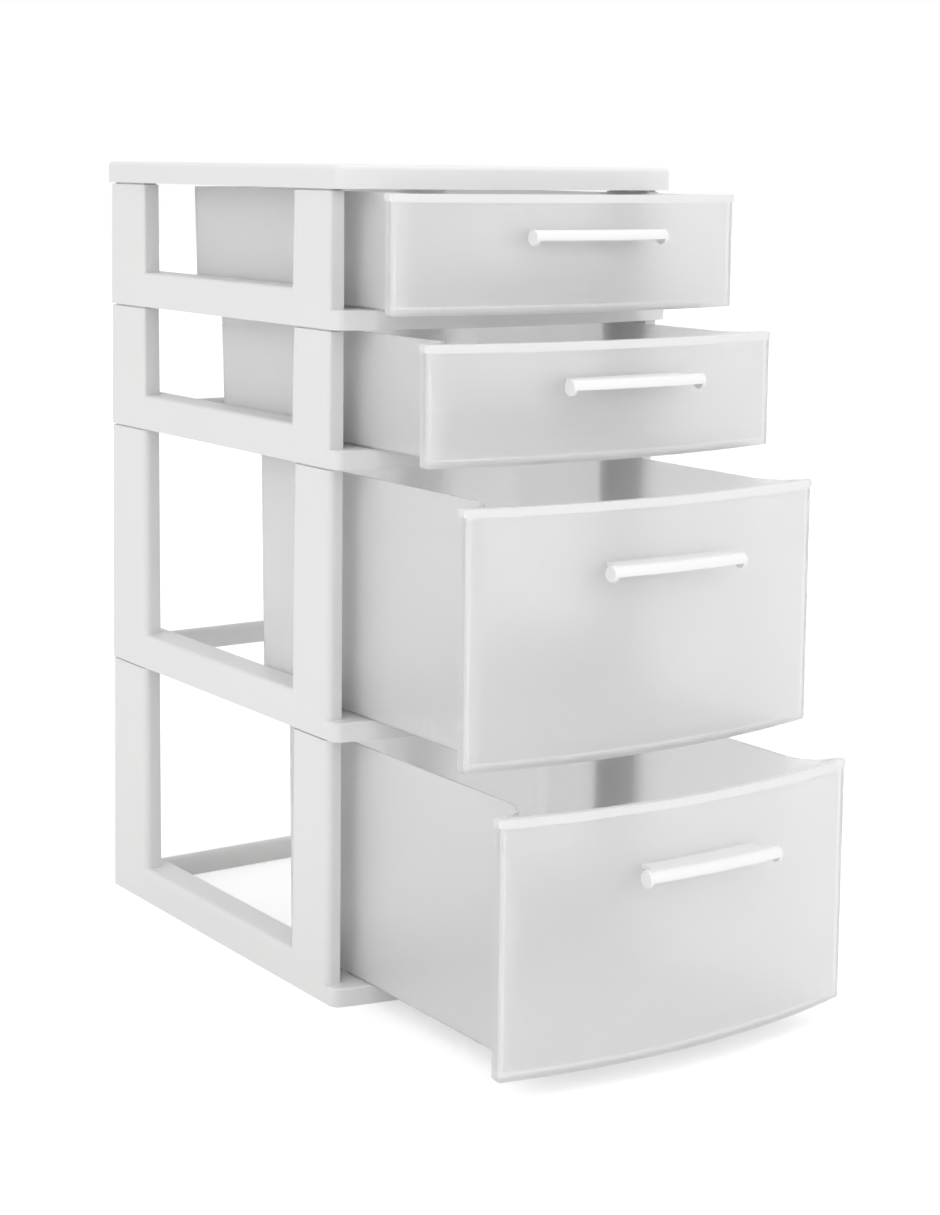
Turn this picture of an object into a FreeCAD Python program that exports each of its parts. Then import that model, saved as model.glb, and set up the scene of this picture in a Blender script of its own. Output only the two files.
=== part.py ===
import FreeCAD, Part
import Sketcher
import math
import os

# Plastic drawer tower: four stacked frame tiers, a top panel, and four sliding drawers with handles.
# Axes: X across the front, Y towards the rear, Z up. The origin is on the floor, under the middle of
# the frame. Lengths are millimetres.

Vector = FreeCAD.Vector

doc = FreeCAD.newDocument("plastic_drawer_tower")
sheet = doc.addObject("Spreadsheet::Sheet", "sizes")


class Size:
    """A length with its value and the sheet formula that it follows."""

    def __init__(self, value, formula):
        self.value = float(value)
        self.formula = formula

    def __float__(self):
        return self.value

    def join(self, sign, other, value, swapped=False):
        first = self.formula
        second = other.formula if isinstance(other, Size) else repr(other)
        if swapped:
            first, second = second, first
        return Size(value, "(%s %s %s)" % (first, sign, second))

    def __add__(self, other):
        return self.join("+", other, self.value + float(other))

    def __sub__(self, other):
        return self.join("-", other, self.value - float(other))

    def __mul__(self, other):
        return self.join("*", other, self.value * float(other))

    def __truediv__(self, other):
        return self.join("/", other, self.value / float(other))

    def __radd__(self, other):
        return self.join("+", other, float(other) + self.value, True)

    def __rsub__(self, other):
        return self.join("-", other, float(other) - self.value, True)

    def __rmul__(self, other):
        return self.join("*", other, float(other) * self.value, True)

    def __neg__(self):
        return 0 - self


def root(area):
    return Size(math.sqrt(area.value), "sqrt(%s)" % area.formula)


def angle_with_sine(ratio):
    return Size(math.degrees(math.asin(ratio.value)), "asin(%s)" % ratio.formula)


def driving(alias, value):
    """Write one driving dimension to the sheet and return it as a size."""
    driving.row += 1
    sheet.set("A%d" % driving.row, alias)
    sheet.set("B%d" % driving.row, str(value))
    sheet.setAlias("B%d" % driving.row, alias)
    return Size(value, "sizes." + alias)


driving.row = 0

# The tower's outside
tower_width = driving("tower_width", 320)
tower_depth = driving("tower_depth", 384)
bow_depth = driving("bow_depth", 20)
shallow_pitch = driving("shallow_pitch", 106.5)
deep_pitch = driving("deep_pitch", 211.5)
front_corner_round = driving("front_corner_round", 8)
rear_corner_round = driving("rear_corner_round", 3)

# The ring at the foot of each tier
moulding_wall = driving("moulding_wall", 2.5)
rail_height = driving("rail_height", 29.5)
rail_width = driving("rail_width", 27)
rail_round = driving("rail_round", 4)
rail_front_gap = driving("rail_front_gap", 12)
runner_width = driving("runner_width", 10)
ledge_height = driving("ledge_height", 15)
ledge_depth = driving("ledge_depth", 30)
ledge_bevel = driving("ledge_bevel", 1.2)
rear_bar_height = driving("rear_bar_height", 18)
rear_bar_width = driving("rear_bar_width", 17)
rib_thickness = driving("rib_thickness", 2)

# The corner posts
front_post_width = driving("front_post_width", 57)
front_post_depth = driving("front_post_depth", 13)
front_post_setback = driving("front_post_setback", 11)
rear_post_width = driving("rear_post_width", 65)
rear_post_depth = driving("rear_post_depth", 15)
post_draft = driving("post_draft", 1.8)
post_lean = driving("post_lean", 0.6)
shallow_post_round = driving("shallow_post_round", 2.5)
deep_post_round = driving("deep_post_round", 6)
rear_post_round = driving("rear_post_round", 3)
seam_gap = driving("seam_gap", 1.5)
spigot_height = driving("spigot_height", 10)
spigot_clearance = driving("spigot_clearance", 0.3)

# The top panel
top_thickness = driving("top_thickness", 18.2)
top_overhang = driving("top_overhang", 2)
top_round = driving("top_round", 4)

# The drawers
bin_width = driving("bin_width", 262)
shallow_rear_setback = driving("shallow_rear_setback", 16)
deep_rear_setback = driving("deep_rear_setback", 32)
bin_wall = driving("bin_wall", 2)
bin_floor = driving("bin_floor", 2.2)
bin_rear_draft = driving("bin_rear_draft", 5)
bin_corner_round = driving("bin_corner_round", 12)
bin_foot_bevel = driving("bin_foot_bevel", 2)
bin_running_gap = driving("bin_running_gap", 0.3)
flare_radius = driving("flare_radius", 26)
flare_end_thickness = driving("flare_end_thickness", 7.5)
front_overhang = driving("front_overhang", 2)
front_wall = driving("front_wall", 2.5)
front_lower_round = driving("front_lower_round", 2)
shallow_front_height = driving("shallow_front_height", 89)
deep_front_height = driving("deep_front_height", 189)
rim_height = driving("rim_height", 5.5)
rim_thickness = driving("rim_thickness", 3)
ear_reach = driving("ear_reach", 1.5)
rear_lip_reach = driving("rear_lip_reach", 12)
rear_lip_thickness = driving("rear_lip_thickness", 2.5)

# The handles
handle_length = driving("handle_length", 124)
handle_diameter = driving("handle_diameter", 11.5)
handle_standoff = driving("handle_standoff", 13.5)
handle_wall = driving("handle_wall", 2)
handle_front_skirt = driving("handle_front_skirt", 1.7)
handle_rear_skirt = driving("handle_rear_skirt", 3)
end_disc_diameter = driving("end_disc_diameter", 12)
end_disc_thickness = driving("end_disc_thickness", 3)
web_thickness = driving("web_thickness", 2.5)
web_drop = driving("web_drop", 0.5)
web_end_inset = driving("web_end_inset", 9)
handle_seat_gap = driving("handle_seat_gap", 0.1)
shallow_handle_drop = driving("shallow_handle_drop", 31.5)
deep_handle_drop = driving("deep_handle_drop", 49)
tab_width = driving("tab_width", 10)
tab_height = driving("tab_height", 1.9)
tab_clearance = driving("tab_clearance", 0.2)
tab_spacing = driving("tab_spacing", 70)
tab_reach = driving("tab_reach", 2)

# How far each drawer stands open
opening_1 = driving("opening_1", 78)
opening_2 = driving("opening_2", 126)
opening_3 = driving("opening_3", 178)
opening_4 = driving("opening_4", 225)

# Tools for cutting: every cut runs past the face that it opens by this much.
overrun = driving("overrun", 1)
doc.recompute()

# How many rib cells lie along a rail, and how many across and along the top panel's underside
RAIL_CELLS = 6
TOP_CELLS_ACROSS = 3
TOP_CELLS_ALONG = 5


def feature_plane(body, role):
    for feature in body.Origin.OriginFeatures:
        if feature.Role == role:
            return feature


def new_body(label, level=0, opening=0):
    """A body whose own zero lies at the underside of its tier, moved to its place in the tower."""
    body = doc.addObject("PartDesign::Body", label)
    body.Label = label
    body.Placement.Base = Vector(0, -float(opening), float(level))
    if isinstance(opening, Size):
        body.setExpression("Placement.Base.y", (-opening).formula)
    if isinstance(level, Size):
        body.setExpression("Placement.Base.z", level.formula)
    return body


def new_sketch(body, name, role, level=0):
    """A sketch on one of the body's origin planes, lifted off it by the level."""
    sketch = body.newObject("Sketcher::SketchObject", name)
    sketch.AttachmentSupport = (feature_plane(body, role), [""])
    sketch.MapMode = "FlatFace"
    sketch.AttachmentOffset = FreeCAD.Placement(Vector(0, 0, float(level)), FreeCAD.Rotation())
    if isinstance(level, Size):
        sketch.setExpression("AttachmentOffset.Base.z", level.formula)
    return sketch


def arc_between(start, end, radius):
    """The shorter arc from start to end: counterclockwise for a positive radius."""
    chord = end.sub(start)
    middle = start.add(end).multiply(0.5)
    reach = math.sqrt(max(radius * radius - chord.Length ** 2 / 4, 0))
    left = Vector(-chord.y, chord.x, 0).normalize()
    centre = middle.add(left.multiply(reach if radius > 0 else -reach))
    first, last = (start, end) if radius > 0 else (end, start)
    first_angle = math.atan2(first.y - centre.y, first.x - centre.x)
    last_angle = math.atan2(last.y - centre.y, last.x - centre.x)
    circle = Part.Circle(centre, Vector(0, 0, 1), abs(radius))
    return Part.ArcOfCircle(circle, first_angle, last_angle)


def draw_outline(sketch, corners):
    """Draw a closed outline and tie every corner and radius to the sheet.

    A corner is (across, up), or (across, up, radius) where an arc leads to the next corner.
    """
    segments = []
    for number, corner in enumerate(corners):
        following = corners[(number + 1) % len(corners)]
        start = Vector(float(corner[0]), float(corner[1]), 0)
        end = Vector(float(following[0]), float(following[1]), 0)
        if len(corner) == 2:
            geometry = Part.LineSegment(start, end)
            forward = True
        else:
            geometry = arc_between(start, end, float(corner[2]))
            forward = float(corner[2]) > 0
        index = sketch.addGeometry(geometry, False)
        segments.append((index, 1, 2) if forward else (index, 2, 1))
    for number, (index, first, last) in enumerate(segments):
        next_index, next_first, next_last = segments[(number + 1) % len(segments)]
        sketch.addConstraint(Sketcher.Constraint("Coincident", index, last, next_index, next_first))
    for corner, (index, first, last) in zip(corners, segments):
        tie_coordinate(sketch, "DistanceX", index, first, corner[0], -2)
        tie_coordinate(sketch, "DistanceY", index, first, corner[1], -1)
        if len(corner) == 3:
            radius = corner[2] if float(corner[2]) > 0 else -corner[2]
            number = sketch.addConstraint(Sketcher.Constraint("Radius", index, float(radius)))
            sketch.setExpression("Constraints[%d]" % number, radius.formula)


def tie_coordinate(sketch, kind, index, point, coordinate, axis):
    if isinstance(coordinate, Size):
        number = sketch.addConstraint(Sketcher.Constraint(kind, index, point, float(coordinate)))
        sketch.setExpression("Constraints[%d]" % number, coordinate.formula)
    else:
        sketch.addConstraint(Sketcher.Constraint("PointOnObject", index, point, axis))


def draw_circle(sketch, across, up, diameter):
    circle = Part.Circle(Vector(float(across), float(up), 0), Vector(0, 0, 1), float(diameter) / 2)
    index = sketch.addGeometry(circle, False)
    tie_coordinate(sketch, "DistanceX", index, 3, across, -2)
    tie_coordinate(sketch, "DistanceY", index, 3, up, -1)
    number = sketch.addConstraint(Sketcher.Constraint("Diameter", index, float(diameter)))
    sketch.setExpression("Constraints[%d]" % number, diameter.formula)


def bind(feature, **sizes):
    for name, size in sizes.items():
        feature.setExpression(name, size.formula)


def pad(body, name, sketch, length, backwards=False):
    feature = body.newObject("PartDesign::Pad", name)
    feature.Profile = sketch
    feature.Reversed = backwards
    bind(feature, Length=length)
    doc.recompute()
    return feature


def pocket(body, name, sketch, depth, backwards=False):
    before = body.Shape.Volume
    feature = body.newObject("PartDesign::Pocket", name)
    feature.Profile = sketch
    feature.Reversed = backwards
    bind(feature, Length=depth)
    doc.recompute()
    must_shrink(body, name, before)
    return feature


def loft(body, name, lower, upper, kind="Additive"):
    before = body.Shape.Volume if kind == "Subtractive" else 0
    feature = body.newObject("PartDesign::%sLoft" % kind, name)
    feature.Profile = lower
    feature.Sections = [upper]
    feature.Ruled = True
    doc.recompute()
    if kind == "Subtractive":
        must_shrink(body, name, before)
    return feature


def repeat(body, name, originals, role, run, copies):
    before = body.Shape.Volume
    feature = body.newObject("PartDesign::LinearPattern", name)
    feature.Originals = originals
    feature.Direction = (feature_plane(body, role), [""])
    feature.Reversed = True
    bind(feature, Length=run)
    feature.Occurrences = copies
    body.Tip = feature
    doc.recompute()
    must_shrink(body, name, before)
    return feature


def mirror_half(body, name):
    """Mirror the whole half about the middle plane."""
    before = body.Shape.Volume
    feature = body.newObject("PartDesign::Mirrored", name)
    feature.TransformMode = "Whole shape"
    feature.MirrorPlane = (feature_plane(body, "YZ_Plane"), [""])
    body.Tip = feature
    doc.recompute()
    if body.Shape.Volume < before * 1.9:
        raise RuntimeError("%s: the mirror %s added nothing" % (body.Label, name))
    return feature


def edge_names(body, wanted):
    names = ["Edge%d" % number for number, edge in enumerate(body.Tip.Shape.Edges, 1) if wanted(edge)]
    if not names:
        raise RuntimeError("%s: no edge to dress" % body.Label)
    return names


def round_edges(body, name, radius, wanted):
    """Fillet the edges of the body's present shape that pass the test."""
    names = edge_names(body, wanted)
    feature = body.newObject("PartDesign::Fillet", name)
    feature.Base = (body.Tip if body.Tip is not feature else feature.BaseFeature, names)
    bind(feature, Radius=radius)
    doc.recompute()
    return feature


def bevel_edges(body, name, size, wanted):
    """Chamfer the edges of the body's present shape that pass the test."""
    names = edge_names(body, wanted)
    feature = body.newObject("PartDesign::Chamfer", name)
    feature.Base = (body.Tip if body.Tip is not feature else feature.BaseFeature, names)
    bind(feature, Size=size)
    doc.recompute()
    return feature


def must_shrink(body, name, before):
    if body.Shape.Volume >= before:
        raise RuntimeError("%s: %s cuts nothing" % (body.Label, name))


def near(value, size):
    return abs(value - float(size)) < float(overrun) / 100


half_width = tower_width / 2
half_depth = tower_depth / 2

# The ring's front, the drawer fronts and the top panel's front share one upright cylinder.
bow_radius = (half_width * half_width + bow_depth * bow_depth) / (2 * bow_depth)
bow_centre = bow_radius - half_depth - bow_depth
corner_centre_x = half_width - front_corner_round
corner_reach = bow_radius - front_corner_round
corner_centre_y = bow_centre - root(corner_reach * corner_reach - corner_centre_x * corner_centre_x)


def bow_at(across, inset):
    """The bow's Y at a distance from the middle plane, for a skin inside the ring's by the inset."""
    radius = bow_radius - inset
    return bow_centre - root(radius * radius - across * across)


def bowed_front(inset):
    """Corners from the left side, round the front corner and along the bow to the middle plane."""
    ratio = (bow_radius - inset) / corner_reach
    meet_y = bow_centre + (corner_centre_y - bow_centre) * ratio
    return [
        (-(half_width - inset), corner_centre_y, front_corner_round - inset),
        (-(corner_centre_x * ratio), meet_y, bow_radius - inset),
        (0, bow_centre - bow_radius + inset),
    ]


def rear_corner(inset):
    """The two ends of the rear left corner's arc."""
    radius = rear_corner_round - inset
    side = half_width - inset
    rear = half_depth - inset
    return [(-(side - radius), rear, radius), (-side, rear - radius)]


def rectangle(left, right, low, high):
    return [(left, low), (right, low), (right, high), (left, high)]


# Places shared by the frame and the drawers. Those named reach are distances from the middle of the
# tower towards the front.
rail_inner = half_width - rail_width
runner_inner = rail_inner - runner_width
post_reach = half_depth - front_post_setback
front_half = half_width + front_overhang
front_end_reach = -bow_at(front_half, 0)
flare_end_reach = front_end_reach - flare_end_thickness
flare_base_reach = flare_end_reach - flare_radius
rail_front_reach = flare_base_reach - rail_front_gap
channel_outer = half_width - moulding_wall
channel_rear = half_depth - moulding_wall
channel_inner = runner_inner + moulding_wall
ledge_rear_reach = half_depth - ledge_depth
rear_window = half_depth - rear_post_width
front_window_reach = post_reach - front_post_width
rear_post_inner = half_width - rear_post_depth
front_post_inner = half_width - front_post_depth


def lies_between(edge, low, high):
    """Whether an edge runs from one level to another."""
    return near(edge.BoundBox.ZMin, low) and near(edge.BoundBox.ZMax, high)


def add_post(body, name, low, high, depth, top, low_draft, high_draft):
    """A post between two places along the side. Its two ends lean in by their drafts, its outside by the lean."""
    profile = new_sketch(body, name + "_profile", "YZ_Plane", -half_width)
    draw_outline(profile, [
        (low, ledge_height),
        (high, ledge_height),
        (high - high_draft, top),
        (low + low_draft, top),
    ])
    pad(body, name, profile, depth)
    lean = new_sketch(body, name + "_lean", "XZ_Plane", -high)
    draw_outline(lean, [
        (-half_width, ledge_height),
        (-half_width, top),
        (post_lean - half_width, top),
    ])
    pocket(body, name + "_side", lean, high - low, backwards=True)


def round_post(body, name, radius, top, along):
    """Round the post's upright outer edges whose foot stands at the given places along the side."""
    def is_outer(edge):
        box = edge.BoundBox
        upright = lies_between(edge, ledge_height, top) and near(box.XMin, -half_width)
        return upright and any(near(box.YMin, place) or near(box.YMax, place) for place in along)

    round_edges(body, name, radius, is_outer)


def hollow_post(body, name, depth, low, high, top):
    """Open the post towards the drawer, and leave its side wall, its two flanges and its cap."""
    mouth = new_sketch(body, name + "_mouth", "YZ_Plane", overrun + depth - half_width)
    draw_outline(mouth, rectangle(low, high, rail_height, top - moulding_wall))
    pocket(body, name, mouth, depth - moulding_wall - post_lean + overrun)


def add_ring(body):
    """The flat ring that stands on the tier below, with a bevelled edge along its bowed front: the left half."""
    joint_reach = post_reach + ledge_bevel
    ledge = new_sketch(body, "front_ledge_outline", "XY_Plane")
    draw_outline(ledge, [(0, -joint_reach), (-half_width, -joint_reach)] + bowed_front(0))
    pad(body, "front_ledge", ledge, ledge_height)

    def is_ledge_edge(edge):
        box = edge.BoundBox
        is_level = lies_between(edge, ledge_height, ledge_height)
        return is_level and box.YMin < -float(joint_reach + overrun) and box.XMin < -float(overrun)

    bevel_edges(body, "ledge_edge", ledge_bevel, is_ledge_edge)
    base = new_sketch(body, "ring_outline", "XY_Plane")
    draw_outline(base, [
        (0, -ledge_rear_reach),
        (-runner_inner, -ledge_rear_reach),
        (-runner_inner, half_depth),
    ] + rear_corner(0) + [
        (-half_width, -joint_reach),
        (0, -joint_reach),
    ])
    pad(body, "ring_base", base, ledge_height)


def add_rails(body):
    """The side rail that carries the drawer, and the round-topped bar across the rear."""
    rail = new_sketch(body, "rail_section", "XZ_Plane", rear_corner_round - half_depth)
    draw_outline(rail, [
        (-rail_inner, 0),
        (-rail_inner, rail_height),
        (-(half_width - rail_round), rail_height, rail_round),
        (-half_width, rail_height - rail_round),
        (-half_width, 0),
    ])
    pad(body, "side_rail", rail, half_depth - rear_corner_round + rail_front_reach)

    bar_radius = rear_bar_width / 2
    bar_middle = half_depth - bar_radius
    bar_shoulder = rear_bar_height - bar_radius
    inner_radius = bar_radius - moulding_wall
    bar = new_sketch(body, "rear_bar_section", "YZ_Plane")
    draw_outline(bar, [
        (half_depth, 0),
        (half_depth, bar_shoulder, bar_radius),
        (bar_middle, rear_bar_height, bar_radius),
        (bar_middle - bar_radius, bar_shoulder),
        (bar_middle - bar_radius, 0),
        (bar_middle - inner_radius, 0),
        (bar_middle - inner_radius, bar_shoulder, -inner_radius),
        (bar_middle, rear_bar_height - moulding_wall, -inner_radius),
        (channel_rear, bar_shoulder),
        (channel_rear, 0),
    ])
    pad(body, "rear_bar", bar, channel_inner, backwards=True)


def hollow_ring(body):
    """Open the ring from below: a channel for the spigots, then deeper cells between ribs."""
    channel = new_sketch(body, "channel_outline", "XY_Plane")
    draw_outline(channel, [
        (0, channel_rear),
        (-channel_outer, channel_rear),
    ] + bowed_front(moulding_wall) + [
        (0, -(ledge_rear_reach + moulding_wall)),
        (-channel_inner, -(ledge_rear_reach + moulding_wall)),
        (-channel_inner, half_depth - rear_bar_width + moulding_wall),
        (0, half_depth - rear_bar_width + moulding_wall),
    ])
    pocket(body, "channel", channel, spigot_height, backwards=True)

    cell_rear = channel_rear - rear_corner_round
    cell_pitch = (cell_rear + rail_front_reach - moulding_wall + rib_thickness) / RAIL_CELLS
    cell_front = cell_rear - cell_pitch + rib_thickness
    cell = new_sketch(body, "rail_cell_outline", "XY_Plane")
    draw_outline(cell, rectangle(-channel_outer, -(rail_inner + moulding_wall), cell_front, cell_rear))
    first = pocket(body, "rail_cell", cell, rail_height - moulding_wall, backwards=True)
    repeat(body, "rail_cells", [first], "Y_Axis", cell_pitch * (RAIL_CELLS - 1), RAIL_CELLS)


def frame_tier(label, level, pitch, corner):
    """One moulding: the ring that carries a drawer, and four posts that carry the next tier."""
    body = new_body(label, level)
    top = pitch - seam_gap
    add_post(body, "rear_post", rear_window, half_depth, rear_post_depth, top, post_draft, post_lean)
    round_post(body, "rear_post_corner", rear_post_round, top, [half_depth])
    round_post(body, "rear_post_edge", corner, top, [rear_window])
    add_post(body, "front_post", -post_reach, -front_window_reach, front_post_depth, top, post_lean, post_draft)
    round_post(body, "front_post_edges", corner, top, [-post_reach, -front_window_reach])
    add_ring(body)
    add_rails(body)
    hollow_ring(body)
    rear_low = rear_window + moulding_wall + post_draft
    rear_high = channel_rear - post_lean
    front_low = moulding_wall + post_lean - post_reach
    front_high = -(front_window_reach + moulding_wall + post_draft)
    hollow_post(body, "rear_hollow", rear_post_depth, rear_low, rear_high, top)
    hollow_post(body, "front_hollow", front_post_depth, front_low, front_high, top)
    outer = spigot_clearance - channel_outer
    spigots = new_sketch(body, "spigots_outline", "XY_Plane", top)
    draw_outline(spigots, rectangle(outer, -(rear_post_inner + post_lean), rear_low, channel_rear - rear_corner_round))
    draw_outline(spigots, rectangle(outer, -(front_post_inner + post_lean), front_low, front_high))
    pad(body, "spigots", spigots, seam_gap + spigot_height)

    mirror_half(body, "both_sides")
    return body


def top_panel(level):
    """An inverted tray with a ribbed underside that sits on the spigots of the top tier."""
    body = new_body("top_panel", level)
    outline = new_sketch(body, "outline", "XY_Plane")
    outside = rear_corner(-top_overhang) + bowed_front(-top_overhang)
    draw_outline(outline, [(0, half_depth + top_overhang)] + outside)
    pad(body, "board", outline, top_thickness)

    def is_upper_edge(edge):
        return lies_between(edge, top_thickness, top_thickness) and edge.BoundBox.XMin < -float(overrun)

    round_edges(body, "upper_edge", top_round, is_upper_edge)

    tray = new_sketch(body, "tray_outline", "XY_Plane")
    draw_outline(tray, [(0, channel_rear)] + rear_corner(moulding_wall) + bowed_front(moulding_wall))
    pocket(body, "tray", tray, spigot_height, backwards=True)

    cell_width = (channel_outer + rib_thickness / 2) / TOP_CELLS_ACROSS
    cell_rear = channel_rear - rear_corner_round
    cell_pitch = (cell_rear + front_end_reach - front_corner_round) / TOP_CELLS_ALONG
    cell_front = cell_rear - cell_pitch + rib_thickness
    cells = new_sketch(body, "cell_outline", "XY_Plane")
    for number in range(TOP_CELLS_ACROSS):
        right = rib_thickness / 2 + cell_width * number
        left = right + cell_width - rib_thickness
        draw_outline(cells, rectangle(-left, -right, cell_front, cell_rear))
    first = pocket(body, "cell", cells, top_thickness - moulding_wall, backwards=True)
    repeat(body, "cells", [first], "Y_Axis", cell_pitch * (TOP_CELLS_ALONG - 1), TOP_CELLS_ALONG)
    mirror_half(body, "both_sides")
    return body


bin_half = bin_width / 2
bin_bottom = ledge_height + bin_running_gap
flare_turn = bin_half + flare_radius
front_reach = half_depth + bow_depth
tab_inset = front_reach + bow_at((tab_spacing + tab_width) / 2, 0)


def box_profile(rear, inset, low, high):
    """The side view of the box behind the flares: its rear wall leans back towards the top."""
    return [
        (-flare_base_reach, low),
        (rear - bin_rear_draft - inset, low),
        (rear - inset, high),
        (-flare_base_reach, high),
    ]


def head_outline(inset, front_inset, across):
    """The plan of the bin's front part: walls that flare out, and a front along the bow."""
    return [
        (0, -flare_base_reach),
        (-(bin_half - inset), -flare_base_reach, -(flare_radius + inset)),
        (-flare_turn, -(flare_end_reach + inset)),
        (-across, -(flare_end_reach + inset)),
        (-across, bow_at(across, front_inset), bow_radius - front_inset),
        (0, bow_centre - bow_radius + front_inset),
    ]


def front_strip(across, outer, inner):
    """A strip along the bow between two skins, from the middle plane out to a distance."""
    return [
        (0, bow_centre - bow_radius + inner, -(bow_radius - inner)),
        (-across, bow_at(across, inner)),
        (-across, bow_at(across, outer), bow_radius - outer),
        (0, bow_centre - bow_radius + outer),
    ]


def drawer(label, level, opening, front_height, rear, handle_drop):
    """One translucent moulding: the bin, its wide bowed front, the rim and the rear lip."""
    body = new_body(label, level, opening)
    top = bin_bottom + front_height
    floor = bin_bottom + bin_floor

    box = new_sketch(body, "box_profile", "YZ_Plane")
    draw_outline(box, box_profile(rear, 0, bin_bottom, top))
    pad(body, "box", box, bin_half, backwards=True)

    hollow = new_sketch(body, "hollow_profile", "YZ_Plane")
    draw_outline(hollow, box_profile(rear, bin_wall, floor, top))
    pocket(body, "box_hollow", hollow, bin_half - bin_wall)

    def is_inner_corner(edge):
        return lies_between(edge, floor, top) and near(edge.BoundBox.YMax, rear - bin_wall) \
            and near(edge.BoundBox.XMin, bin_wall - bin_half)

    def is_outer_corner(edge):
        return lies_between(edge, bin_bottom, top) and near(edge.BoundBox.YMax, rear) \
            and near(edge.BoundBox.XMin, -bin_half)

    round_edges(body, "inner_corner", bin_corner_round - bin_wall, is_inner_corner)
    round_edges(body, "outer_corner", bin_corner_round, is_outer_corner)
    head = new_sketch(body, "head_outline", "XY_Plane", bin_bottom)
    draw_outline(head, head_outline(0, 0, front_half))
    pad(body, "head", head, front_height)

    def is_foot(edge):
        box = edge.BoundBox
        level_edge = lies_between(edge, bin_bottom, bin_bottom)
        return level_edge and box.XMin > -float(flare_turn) and near(box.XMin, -bin_half) and near(box.XMax, -bin_half)

    def is_front_corner(edge):
        box = edge.BoundBox
        return lies_between(edge, bin_bottom, bin_bottom) and near(box.XMin, -front_half) and near(box.XMax, -front_half)

    bevel_edges(body, "foot", bin_foot_bevel, is_foot)
    round_edges(body, "front_lower_corner", front_lower_round, is_front_corner)
    head_hollow = new_sketch(body, "head_hollow_outline", "XY_Plane", floor)
    draw_outline(head_hollow, head_outline(bin_wall, front_wall, flare_turn)[:3] + front_skin())
    pocket(body, "head_hollow", head_hollow, front_height, backwards=True)

    rim = new_sketch(body, "rim_outline", "XY_Plane", top - rim_height)
    draw_outline(rim, front_strip(flare_turn, front_wall, front_wall + rim_thickness))
    pad(body, "front_rim", rim, rim_height)

    ear = new_sketch(body, "ear_outline", "XY_Plane", top - rim_height)
    draw_outline(ear, rectangle(-(front_half + ear_reach), -front_half, -front_end_reach, -flare_end_reach))
    pad(body, "ear", ear, rim_height)

    lip_round = rear_lip_reach / 2
    lip_side = bin_half - bin_corner_round
    lip_rear = rear + rear_lip_reach
    lip = new_sketch(body, "rear_lip_outline", "XY_Plane", top - rear_lip_thickness)
    draw_outline(lip, [
        (0, rear - bin_wall),
        (0, lip_rear),
        (-(lip_side - lip_round), lip_rear, lip_round),
        (-lip_side, lip_rear - lip_round),
        (-lip_side, rear - bin_wall),
    ])
    pad(body, "rear_lip", lip, rear_lip_thickness)

    slots = new_sketch(body, "tab_slot_outline", "XZ_Plane", front_reach + overrun)
    slot_high = top - handle_drop + tab_height / 2 + tab_clearance
    slot_low = slot_high - tab_height - 2 * tab_clearance
    slot_inner = (tab_spacing - tab_width) / 2 - tab_clearance
    slot_outer = slot_inner + tab_width + 2 * tab_clearance
    draw_outline(slots, rectangle(-slot_outer, -slot_inner, slot_low, slot_high))
    pocket(body, "tab_slot", slots, overrun + tab_inset + front_wall + overrun)
    mirror_half(body, "both_sides")
    return body


def front_skin():
    """The inner side of the front, from the end of the flare to the middle plane."""
    return [
        (-flare_turn, bow_at(flare_turn, front_wall), bow_radius - front_wall),
        (0, bow_centre - bow_radius + front_wall),
    ]


def revolve(body, name, sketch, angle, kind="Revolution"):
    before = body.Shape.Volume if kind == "Groove" else 0
    feature = body.newObject("PartDesign::" + kind, name)
    feature.Profile = sketch
    feature.ReferenceAxis = (sketch, ["Axis0"])
    feature.Midplane = True
    bind(feature, Angle=angle)
    doc.recompute()
    if kind == "Groove":
        must_shrink(body, name, before)
    return feature


def new_arc_sketch(body, name, height):
    """A sketch on the middle plane, with the bow's upright centre line as its axis."""
    sketch = new_sketch(body, name, "YZ_Plane")
    foot = Vector(float(bow_centre), float(height), 0)
    line = sketch.addGeometry(Part.LineSegment(foot, foot + Vector(0, float(handle_diameter), 0)), True)
    sketch.addConstraint(Sketcher.Constraint("Vertical", line))
    tie_coordinate(sketch, "DistanceX", line, 1, bow_centre, -2)
    tie_coordinate(sketch, "DistanceY", line, 1, height, -1)
    number = sketch.addConstraint(Sketcher.Constraint("DistanceY", line, 1, line, 2, float(handle_diameter)))
    sketch.setExpression("Constraints[%d]" % number, handle_diameter.formula)
    return sketch


def grip_section(ceiling, reach, height):
    """A bar's section that is open below: round in front, with a longer upright wall behind."""
    radius = handle_diameter / 2
    hollow_half = radius - handle_wall
    nose_half = root(radius * radius - handle_front_skirt * handle_front_skirt)
    crown_half = root(radius * radius - (radius - web_drop) * (radius - web_drop))
    return [
        (radius - reach, height - handle_rear_skirt),
        (radius - reach, height + radius - web_drop),
        (crown_half - reach, height + radius - web_drop, radius),
        (-reach, height + radius, radius),
        (-(reach + nose_half), height - handle_front_skirt),
        (-(reach + hollow_half), height - handle_front_skirt),
        (-(reach + hollow_half), ceiling),
        (hollow_half - reach, ceiling),
        (hollow_half - reach, height - handle_rear_skirt),
    ]


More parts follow.
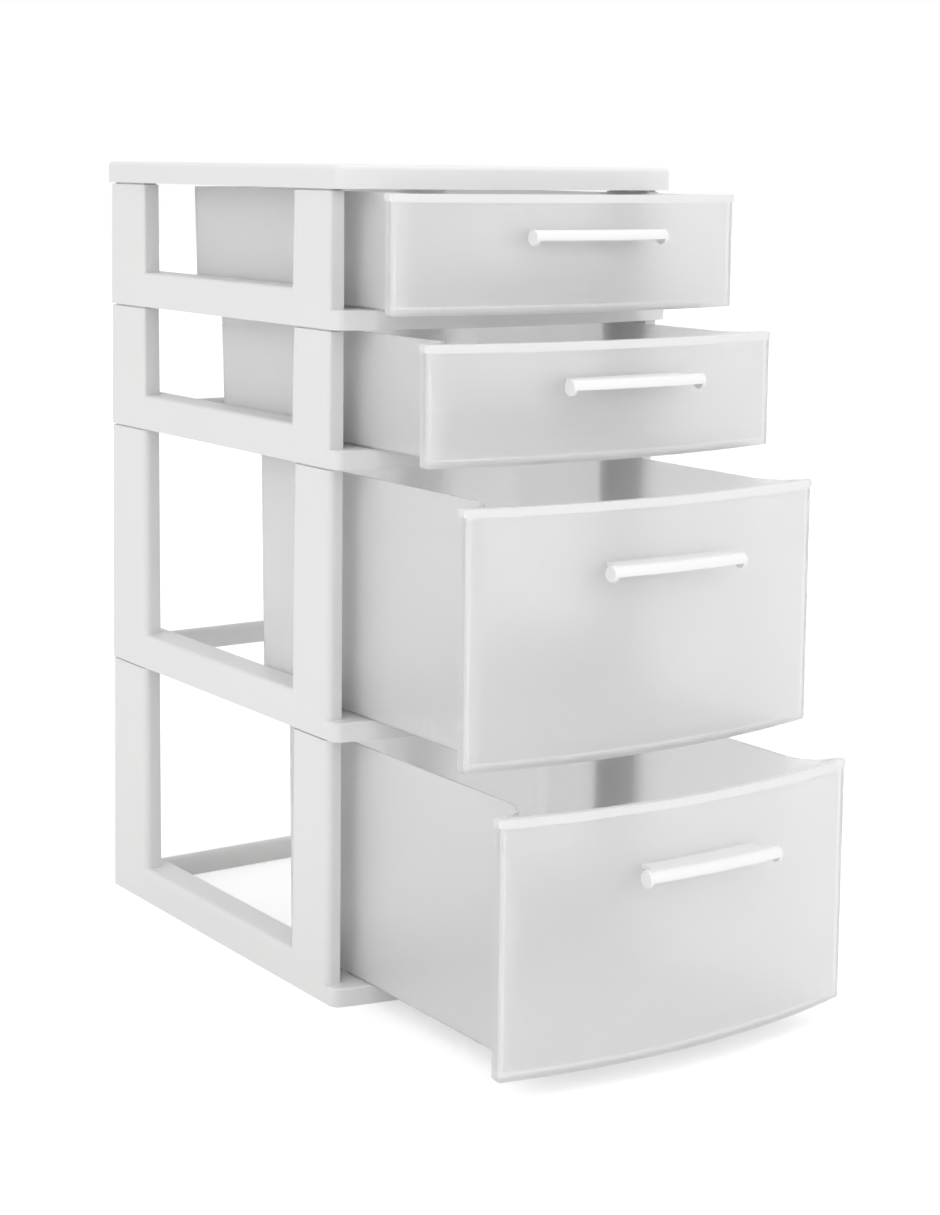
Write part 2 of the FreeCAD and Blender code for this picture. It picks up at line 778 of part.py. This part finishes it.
def handle(label, level, opening, height):
    """A grip that follows the bow, closed by end discs, with a web and two tabs that hold the front."""
    body = new_body(label, level, opening)
    radius = handle_diameter / 2
    grip_reach = front_reach + handle_standoff + radius
    turn_radius = bow_radius + handle_standoff + radius
    ceiling = height + radius - web_drop - web_thickness

    grip = new_arc_sketch(body, "grip_section", height)
    draw_outline(grip, grip_section(ceiling, grip_reach, height))
    grip_half = (handle_length - end_disc_thickness) / 2
    revolve(body, "grip", grip, 2 * angle_with_sine(grip_half / turn_radius))

    disc_inner = handle_length / 2 - end_disc_thickness
    disc_reach = root(turn_radius * turn_radius - grip_half * grip_half) - bow_centre
    for name, place, backwards in (("left_disc", -disc_inner, True), ("right_disc", disc_inner, False)):
        disc = new_sketch(body, name + "_outline", "YZ_Plane", place)
        draw_circle(disc, -disc_reach, height, end_disc_diameter)
        pad(body, name, disc, end_disc_thickness, backwards)

    web = new_arc_sketch(body, "web_section", height)
    draw_outline(web, rectangle(-grip_reach, -(front_reach + handle_seat_gap), ceiling, ceiling + web_thickness))
    web_half = handle_length / 2 - web_end_inset
    revolve(body, "web", web, 2 * angle_with_sine(web_half / turn_radius))

    tabs = new_sketch(body, "tabs_outline", "XZ_Plane", front_reach + handle_seat_gap + overrun)
    tab_low = ceiling + (web_thickness - tab_height) / 2
    tab_inner = (tab_spacing - tab_width) / 2
    tab_outer = tab_inner + tab_width
    draw_outline(tabs, rectangle(-tab_outer, -tab_inner, tab_low, tab_low + tab_height))
    draw_outline(tabs, rectangle(tab_inner, tab_outer, tab_low, tab_low + tab_height))
    tab_length = overrun + handle_seat_gap + tab_inset + front_wall + tab_reach
    pad(body, "tabs", tabs, tab_length, backwards=True)
    return body


def build():
    level_3 = deep_pitch
    level_2 = level_3 + deep_pitch
    level_1 = level_2 + shallow_pitch
    level_top = level_1 + shallow_pitch
    tiers = [
        (1, level_1, shallow_pitch, shallow_post_round),
        (2, level_2, shallow_pitch, shallow_post_round),
        (3, level_3, deep_pitch, deep_post_round),
        (4, 0, deep_pitch, deep_post_round),
    ]
    parts = [top_panel(level_top)]
    for number, level, pitch, corner in tiers:
        parts.append(frame_tier("frame_tier_%d" % number, level, pitch, corner))
    openings = [opening_1, opening_2, opening_3, opening_4]
    tab_lift = handle_diameter / 2 - web_drop - web_thickness / 2
    for (number, level, pitch, corner), opening in zip(tiers, openings):
        shallow = pitch is shallow_pitch
        front_height = shallow_front_height if shallow else deep_front_height
        rear = half_depth - (shallow_rear_setback if shallow else deep_rear_setback)
        handle_drop = shallow_handle_drop if shallow else deep_handle_drop
        parts.append(drawer("drawer_%d" % number, level, opening, front_height, rear, handle_drop - tab_lift))
        height = bin_bottom + front_height - handle_drop
        parts.append(handle("handle_%d" % number, level, opening, height))
    return parts


def check(parts):
    """Stop on any failed object, and on a sub-part that isn't one valid solid."""
    for item in doc.Objects:
        if "Invalid" in item.State or "Error" in item.State:
            raise RuntimeError("%s failed: %s" % (item.Name, item.State))
    for body in parts:
        shape = body.Shape
        if shape.isNull() or not shape.isValid() or len(shape.Solids) != 1:
            raise RuntimeError("%s isn't one valid solid" % body.Label)


parts = build()
doc.recompute()
check(parts)
os.makedirs("parts", exist_ok=True)
for body in parts:
    body.Shape.exportStep("parts/%s.step" % body.Label)
    box = body.Shape.BoundBox
    print("%-14s %9.0f mm3, faces %d, X %.1f..%.1f, Y %.1f..%.1f, Z %.1f..%.1f" % (
        body.Label, body.Shape.Volume, len(body.Shape.Faces),
        box.XMin, box.XMax, box.YMin, box.YMax, box.ZMin, box.ZMax))
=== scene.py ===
# %% [markdown]
# # A plastic drawer tower in a white studio
#
# The tower is a stack of opaque white frame tiers with a flat top. Four frosted drawers stand open in
# it by different amounts, and each has a white bar handle. Their shapes come from a imported CAD model,
# so this scene leaves them where they are and works on what the CAD can't hold: the plastics, the light
# and the camera. The first step loads that model as a fixed frame.

# %% Load the imported frame
import math

import bmesh
import bpy
from mathutils import Matrix, Vector

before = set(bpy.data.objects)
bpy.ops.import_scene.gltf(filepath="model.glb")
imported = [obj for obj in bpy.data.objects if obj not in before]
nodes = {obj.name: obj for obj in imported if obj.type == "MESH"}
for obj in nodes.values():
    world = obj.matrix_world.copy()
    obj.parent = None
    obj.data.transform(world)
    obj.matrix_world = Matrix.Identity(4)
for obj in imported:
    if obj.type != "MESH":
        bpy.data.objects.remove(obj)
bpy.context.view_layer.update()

print("CAD nodes:", sorted(nodes))

# %% [markdown]
# ## The camera
#
# A photograph's camera can be worked out from points that show in it. The upright edges and the corners
# of the tiers were matched to the model's, with the tower's width as the unit. They gave where the
# camera stands, how far it is turned, and how long its lens is. It stands to the front left, a little
# above the top, far away. The lens is shifted a little, so that the tower's uprights stay nearly upright.

# %% Camera values
PHOTO_WIDTH = 940
PHOTO_HEIGHT = 1215
TOWER_WIDTH = 0.320
SENSOR_MM = 36
FOCAL_PIXELS = 2367.6
CENTRE_ROW = 437
AZIMUTH = math.radians(-34.693)
ELEVATION = math.radians(6.610)
ROLL = math.radians(0.692)
SIDE_STEP = 0.25107 * TOWER_WIDTH
RISE_STEP = 0.31129 * TOWER_WIDTH
DISTANCE = 6.42962 * TOWER_WIDTH
LOOK_AT = Vector((0, 0, TOWER_WIDTH))


# %% Place the camera
def place_camera():
    forward = Vector((
        -math.sin(AZIMUTH) * math.cos(ELEVATION),
        math.cos(AZIMUTH) * math.cos(ELEVATION),
        -math.sin(ELEVATION),
    ))
    right = forward.cross(Vector((0, 0, 1))).normalized()
    up = right.cross(forward)
    turn = Matrix.Rotation(-ROLL, 3, forward)
    right, up = turn @ right, turn @ up
    lens = bpy.data.cameras.new("photo_camera")
    lens.sensor_width = SENSOR_MM
    lens.lens = FOCAL_PIXELS * SENSOR_MM / PHOTO_HEIGHT
    lens.shift_y = (CENTRE_ROW - PHOTO_HEIGHT / 2) / PHOTO_HEIGHT
    camera = bpy.data.objects.new("photo_camera", lens)
    place = LOOK_AT - forward * DISTANCE + right * SIDE_STEP + up * RISE_STEP
    camera.matrix_world = Matrix.Translation(place) @ Matrix((right, up, -forward)).transposed().to_4x4()
    bpy.context.scene.collection.objects.link(camera)
    bpy.context.scene.camera = camera
    return camera


camera = place_camera()
print("camera at", [round(v, 3) for v in camera.matrix_world.translation], "lens", round(camera.data.lens, 1))

# %% [markdown]
# ## Nodes written as expressions
#
# A material is a graph of nodes, and long chains of Math nodes are hard to read as code. One small class
# wraps a socket, so that a sum such as 1 - mask * 0.2 adds its Math nodes by itself. Every other node
# comes from one method, which takes the node's type, its settings, and the values or links of its inputs.


# %% A socket that can be added and multiplied
class Wire:
    def __init__(self, material, socket):
        self.material = material
        self.socket = socket

    def math(self, operation, first, second):
        return self.material.math(operation, first, second)

    def __add__(self, other):
        return self.math("ADD", self, other)

    def __radd__(self, other):
        return self.math("ADD", other, self)

    def __sub__(self, other):
        return self.math("SUBTRACT", self, other)

    def __rsub__(self, other):
        return self.math("SUBTRACT", other, self)

    def __mul__(self, other):
        return self.math("MULTIPLY", self, other)

    def __rmul__(self, other):
        return self.math("MULTIPLY", other, self)


# %% A material that builds its own graph
# The Mix node has sockets of the same name for numbers, vectors and colours, so the colours go by number.
COLOUR_A = 6
COLOUR_B = 7
COLOUR_RESULT = 2


class Plastic:
    def __init__(self, name):
        self.data = bpy.data.materials.new(name)
        self.data.use_nodes = True
        self.tree = self.data.node_tree
        self.tree.nodes.clear()

    def node(self, kind, settings={}, inputs={}, output=0):
        """A node with its settings, then the values or links of its inputs. Gives one of its outputs."""
        made = self.tree.nodes.new(kind)
        for name, value in settings.items():
            setattr(made, name, value)
        for name, value in inputs.items():
            if isinstance(value, Wire):
                self.tree.links.new(value.socket, made.inputs[name])
            else:
                made.inputs[name].default_value = value
        return Wire(self, made.outputs[output])

    def place(self):
        """Coordinates on the object, in metres."""
        return self.node("ShaderNodeTexCoord", output="Object")

    def noise(self, size, detail=2, roughness=0.5):
        """Noise whose lumps are about as wide as the size, in metres."""
        inputs = {"Vector": self.place(), "Scale": 1 / size, "Detail": detail, "Roughness": roughness}
        return self.node("ShaderNodeTexNoise", inputs=inputs, output="Fac")

    def above(self, value, limit):
        """One where the value is over the limit, else zero."""
        return self.math("GREATER_THAN", value, limit)

    def math(self, operation, first, second):
        """A Math node on two numbers or links."""
        return self.node("ShaderNodeMath", {"operation": operation}, {0: first, 1: second})

    def blend(self, factor, first, second):
        """A mix of two colours by a factor."""
        inputs = {"Factor": factor, COLOUR_A: first, COLOUR_B: second}
        return self.node("ShaderNodeMix", {"data_type": "RGBA"}, inputs, output=COLOUR_RESULT)

    def principled(self, **inputs):
        """The Principled shader; an underscore in a name stands for a space."""
        named = {name.replace("_", " "): value for name, value in inputs.items()}
        return self.node("ShaderNodeBsdfPrincipled", inputs=named, output="BSDF")

    def seen(self):
        """One where the camera sees the surface, straight, in a shine or through a wall."""
        rays = ("Is Camera Ray", "Is Transmission Ray", "Is Glossy Ray")
        camera, through, mirrored = [self.node("ShaderNodeLightPath", output=ray) for ray in rays]
        return self.math("MAXIMUM", self.math("MAXIMUM", camera, through), mirrored)

    def relief(self, size, strength, depth, detail=2, roughness=0.5, over=None):
        """A bump of noise, with its size and depth in metres, which may lie over another bump."""
        height = self.noise(size, detail, roughness)
        inputs = {"Height": height, "Strength": strength, "Distance": depth}
        if over:
            inputs["Normal"] = over
        return self.node("ShaderNodeBump", inputs=inputs, output="Normal")

    def cover(self, shader):
        """Give the material this shader as its surface."""
        output = self.tree.nodes.new("ShaderNodeOutputMaterial")
        self.tree.links.new(shader.socket, output.inputs["Surface"])
        return self.data


print("graph helpers ready")

# %% [markdown]
# ## The frame's plastic
#
# The tiers and the top are white polypropylene with enough pigment to be opaque. A mould's steel leaves
# a fine, even grain on such a face, and the plastic cools in slow, shallow waves. Both are bumps, one a
# millimetre wide and one some centimetres wide. The colour drifts by a hair between a warm and a cool
# white, because a perfectly even white looks like a computer's.


# %% The whites of the frame, and how rough it is
FRAME_WARM = (0.810, 0.809, 0.803, 1)
FRAME_COOL = (0.838, 0.838, 0.834, 1)
FRAME_ROUGHNESS = 0.40
ROUGHNESS_DRIFT = 0.12
OPAQUE_IOR = 1.49


# %% Opaque white polypropylene
def frame_plastic():
    plastic = Plastic("white_polypropylene")
    drift = plastic.noise(size=0.09, detail=3)
    colour = plastic.blend(drift, FRAME_WARM, FRAME_COOL)
    roughness = FRAME_ROUGHNESS + plastic.noise(size=0.02) * ROUGHNESS_DRIFT
    waved = plastic.relief(size=0.045, strength=0.10, depth=0.004, detail=1)
    grained = plastic.relief(size=0.0011, strength=0.12, depth=0.0003, roughness=0.6, over=waved)
    return plastic.cover(plastic.principled(
        Base_Color=colour, Roughness=roughness, Normal=grained, IOR=OPAQUE_IOR))


# %% [markdown]
# ## The drawers' plastic
#
# The drawers are the same plastic without the pigment. Light gets through, but it scatters on the way,
# so what stands close behind a wall shows as a soft shape, and what stands far behind is only a shade.
# Rough transmission does that in the shader, and the rest of the light is spread back evenly by a
# pale base colour. Where the moulding is thicker, less light gets through and it looks whiter: along the
# rim of the front, and in a thin line above its lower edge, where the floor meets it. There a second,
# opaque shader is mixed in. The mask is a band of height on the front part alone, measured from each
# drawer's own box.


# %% Where the bands lie, in metres, how opaque they are, and the drawers' whites
FRONT_DEPTH = 0.0285
RIM_BAND = 0.0062
FLOOR_LINE_LOW = 0.0050
FLOOR_LINE_HIGH = 0.0066
RIM_SHARE = 0.55
FLOOR_LINE_SHARE = 0.35
THROUGH_SHARE = 0.62
FROSTED_IOR = 1.30
DRAWER_ROUGHNESS = 0.28
DRAWER_DIM = (0.972, 0.967, 0.969, 1)
DRAWER_PALE = (0.983, 0.978, 0.980, 1)
THICK_WHITE = (0.96, 0.958, 0.957, 1)


# %% Frosted polypropylene
def drawer_plastic(drawer):
    plastic = Plastic("frosted_polypropylene_" + drawer.name[-1])
    heights = [vertex.co.z for vertex in drawer.data.vertices]
    foot, top = min(heights), max(heights)
    nose = min(vertex.co.y for vertex in drawer.data.vertices)
    print(drawer.name, "bands above", round(top - RIM_BAND, 4), "and", round(foot + FLOOR_LINE_LOW, 4))
    height = plastic.node("ShaderNodeSeparateXYZ", inputs={"Vector": plastic.place()}, output="Z")
    depth = plastic.node("ShaderNodeSeparateXYZ", inputs={"Vector": plastic.place()}, output="Y")
    rim = plastic.above(height, top - RIM_BAND)
    line = plastic.above(height, foot + FLOOR_LINE_LOW) - plastic.above(height, foot + FLOOR_LINE_HIGH)
    front = 1 - plastic.above(depth, nose + FRONT_DEPTH)
    thick = (rim * RIM_SHARE + line * FLOOR_LINE_SHARE) * front
    drift = plastic.noise(size=0.12, detail=3)
    colour = plastic.blend(drift, DRAWER_DIM, DRAWER_PALE)
    roughness = DRAWER_ROUGHNESS + plastic.noise(size=0.03, detail=3) * ROUGHNESS_DRIFT
    waved = plastic.relief(size=0.06, strength=0.15, depth=0.005, detail=1)
    grained = plastic.relief(size=0.0014, strength=0.10, depth=0.0003, roughness=0.6, over=waved)
    shared = {"Roughness": roughness, "Normal": grained, "IOR": FROSTED_IOR}
    thin = plastic.principled(Base_Color=colour, Transmission_Weight=THROUGH_SHARE, **shared)
    solid = plastic.principled(Base_Color=THICK_WHITE, **shared)
    return plastic.cover(plastic.node("ShaderNodeMixShader", inputs={0: thick, 1: thin, 2: solid}))


# %% [markdown]
# ## The handles' plastic
#
# The handles are a brighter, smoother white than the frame, with a soft shine along the top of the bar.


# %% The whites of the handles, and how rough they are
HANDLE_DIM = (0.865, 0.865, 0.86, 1)
HANDLE_PALE = (0.885, 0.885, 0.885, 1)
HANDLE_ROUGHNESS = 0.28
HANDLE_DRIFT = 0.10


# %% Bright white handle plastic
def handle_plastic():
    plastic = Plastic("bright_white_plastic")
    colour = plastic.blend(plastic.noise(size=0.03), HANDLE_DIM, HANDLE_PALE)
    roughness = HANDLE_ROUGHNESS + plastic.noise(size=0.012) * HANDLE_DRIFT
    grained = plastic.relief(size=0.0009, strength=0.08, depth=0.0002)
    return plastic.cover(plastic.principled(
        Base_Color=colour, Roughness=roughness, Normal=grained, IOR=OPAQUE_IOR))


# %% Give each node its plastic
finishes = {"frame": frame_plastic(), "top": frame_plastic(), "handle": handle_plastic()}
for name, node in nodes.items():
    kind = name.split("_")[0]
    finish = drawer_plastic(node) if kind == "drawer" else finishes[kind]
    node.data.materials.clear()
    node.data.materials.append(finish)
    print(name, "in", finish.name)

# %% [markdown]
# ## The studio
#
# A catalogue photograph is taken on a white sweep. The floor here is a plain white plane. Where it is
# seen, it glows a little, so it reads as pure white and still keeps the tower's soft contact shadow. The
# world does the same behind it. Seen means straight from the camera, in a shine, or through a drawer's
# wall, and Light Path tells those rays from the ones that carry light to the tower.

# %% Floor and world values
BLACK = (0, 0, 0, 1)
WHITE = (1, 1, 1, 1)
FLOOR_WHITE = (0.86, 0.86, 0.86, 1)
FLOOR_ROUGHNESS = 0.9
FLOOR_SIZE = 30
FLOOR_GLOW = 0.40
WORLD_LIGHT = 0.86
WORLD_SEEN = 1.0


# %% The floor
def studio_floor():
    shape = bmesh.new()
    bmesh.ops.create_grid(shape, x_segments=1, y_segments=1, size=FLOOR_SIZE / 2)
    mesh = bpy.data.meshes.new("studio_floor")
    shape.to_mesh(mesh)
    shape.free()
    floor = bpy.data.objects.new("studio_floor", mesh)
    bpy.context.scene.collection.objects.link(floor)
    paint = Plastic("white_sweep")
    glow = paint.blend(paint.seen(), BLACK, WHITE)
    mesh.materials.append(paint.cover(paint.principled(
        Base_Color=FLOOR_WHITE, Roughness=FLOOR_ROUGHNESS, Specular_IOR_Level=0.0,
        Emission_Color=glow, Emission_Strength=FLOOR_GLOW)))
    return floor


floor = studio_floor()
print("floor", floor.dimensions[:])


# %% The world
def studio_world():
    world = bpy.data.worlds.new("studio_world")
    world.use_nodes = True
    tree = world.node_tree
    tree.nodes.clear()
    path = tree.nodes.new("ShaderNodeLightPath")
    seen = path.outputs["Is Camera Ray"]
    for ray in ("Is Transmission Ray", "Is Glossy Ray"):
        either = tree.nodes.new("ShaderNodeMath")
        either.operation = "MAXIMUM"
        tree.links.new(seen, either.inputs[0])
        tree.links.new(path.outputs[ray], either.inputs[1])
        seen = either.outputs[0]
    mix, output = tree.nodes.new("ShaderNodeMixShader"), tree.nodes.new("ShaderNodeOutputWorld")
    tree.links.new(seen, mix.inputs[0])
    for place, strength in {1: WORLD_LIGHT, 2: WORLD_SEEN}.items():
        background = tree.nodes.new("ShaderNodeBackground")
        background.inputs["Color"].default_value = WHITE
        background.inputs["Strength"].default_value = strength
        tree.links.new(background.outputs[0], mix.inputs[place])
    tree.links.new(mix.outputs[0], output.inputs[0])
    bpy.context.scene.world = world


studio_world()
print("world light", WORLD_LIGHT)

# %% [markdown]
# ## The lamps
#
# The left sides of the tower are brighter than the strips that face forwards, and the top brighter
# still. The shadows are so soft that they hardly show, so the world gives most of the light. Three large
# soft lamps add to it: one at the left, one overhead, and one in front that reaches into the drawers.

# %% Lamp values
LAMPS = {
    "left_softbox": {"place": (-2.4, -0.6, 1.5), "size": 1.8, "power": 7},
    "overhead_softbox": {"place": (0.2, -0.3, 2.6), "size": 2.2, "power": 8},
    "front_softbox": {"place": (0.6, -2.8, 1.0), "size": 2.0, "power": 13},
}
LAMP_TARGET = Vector((0, -0.1, 0.33))


# %% Hang the lamps
for name, lamp in LAMPS.items():
    light = bpy.data.lights.new(name, "AREA")
    light.size = lamp["size"]
    light.energy = lamp["power"]
    hung = bpy.data.objects.new(name, light)
    hung.location = lamp["place"]
    hung.rotation_euler = (LAMP_TARGET - Vector(lamp["place"])).to_track_quat("-Z", "Y").to_euler()
    bpy.context.scene.collection.objects.link(hung)
    print(name, lamp["power"], "W")

# %% Plain colours
bpy.context.scene.view_settings.view_transform = "Standard"
bpy.context.view_layer.update()
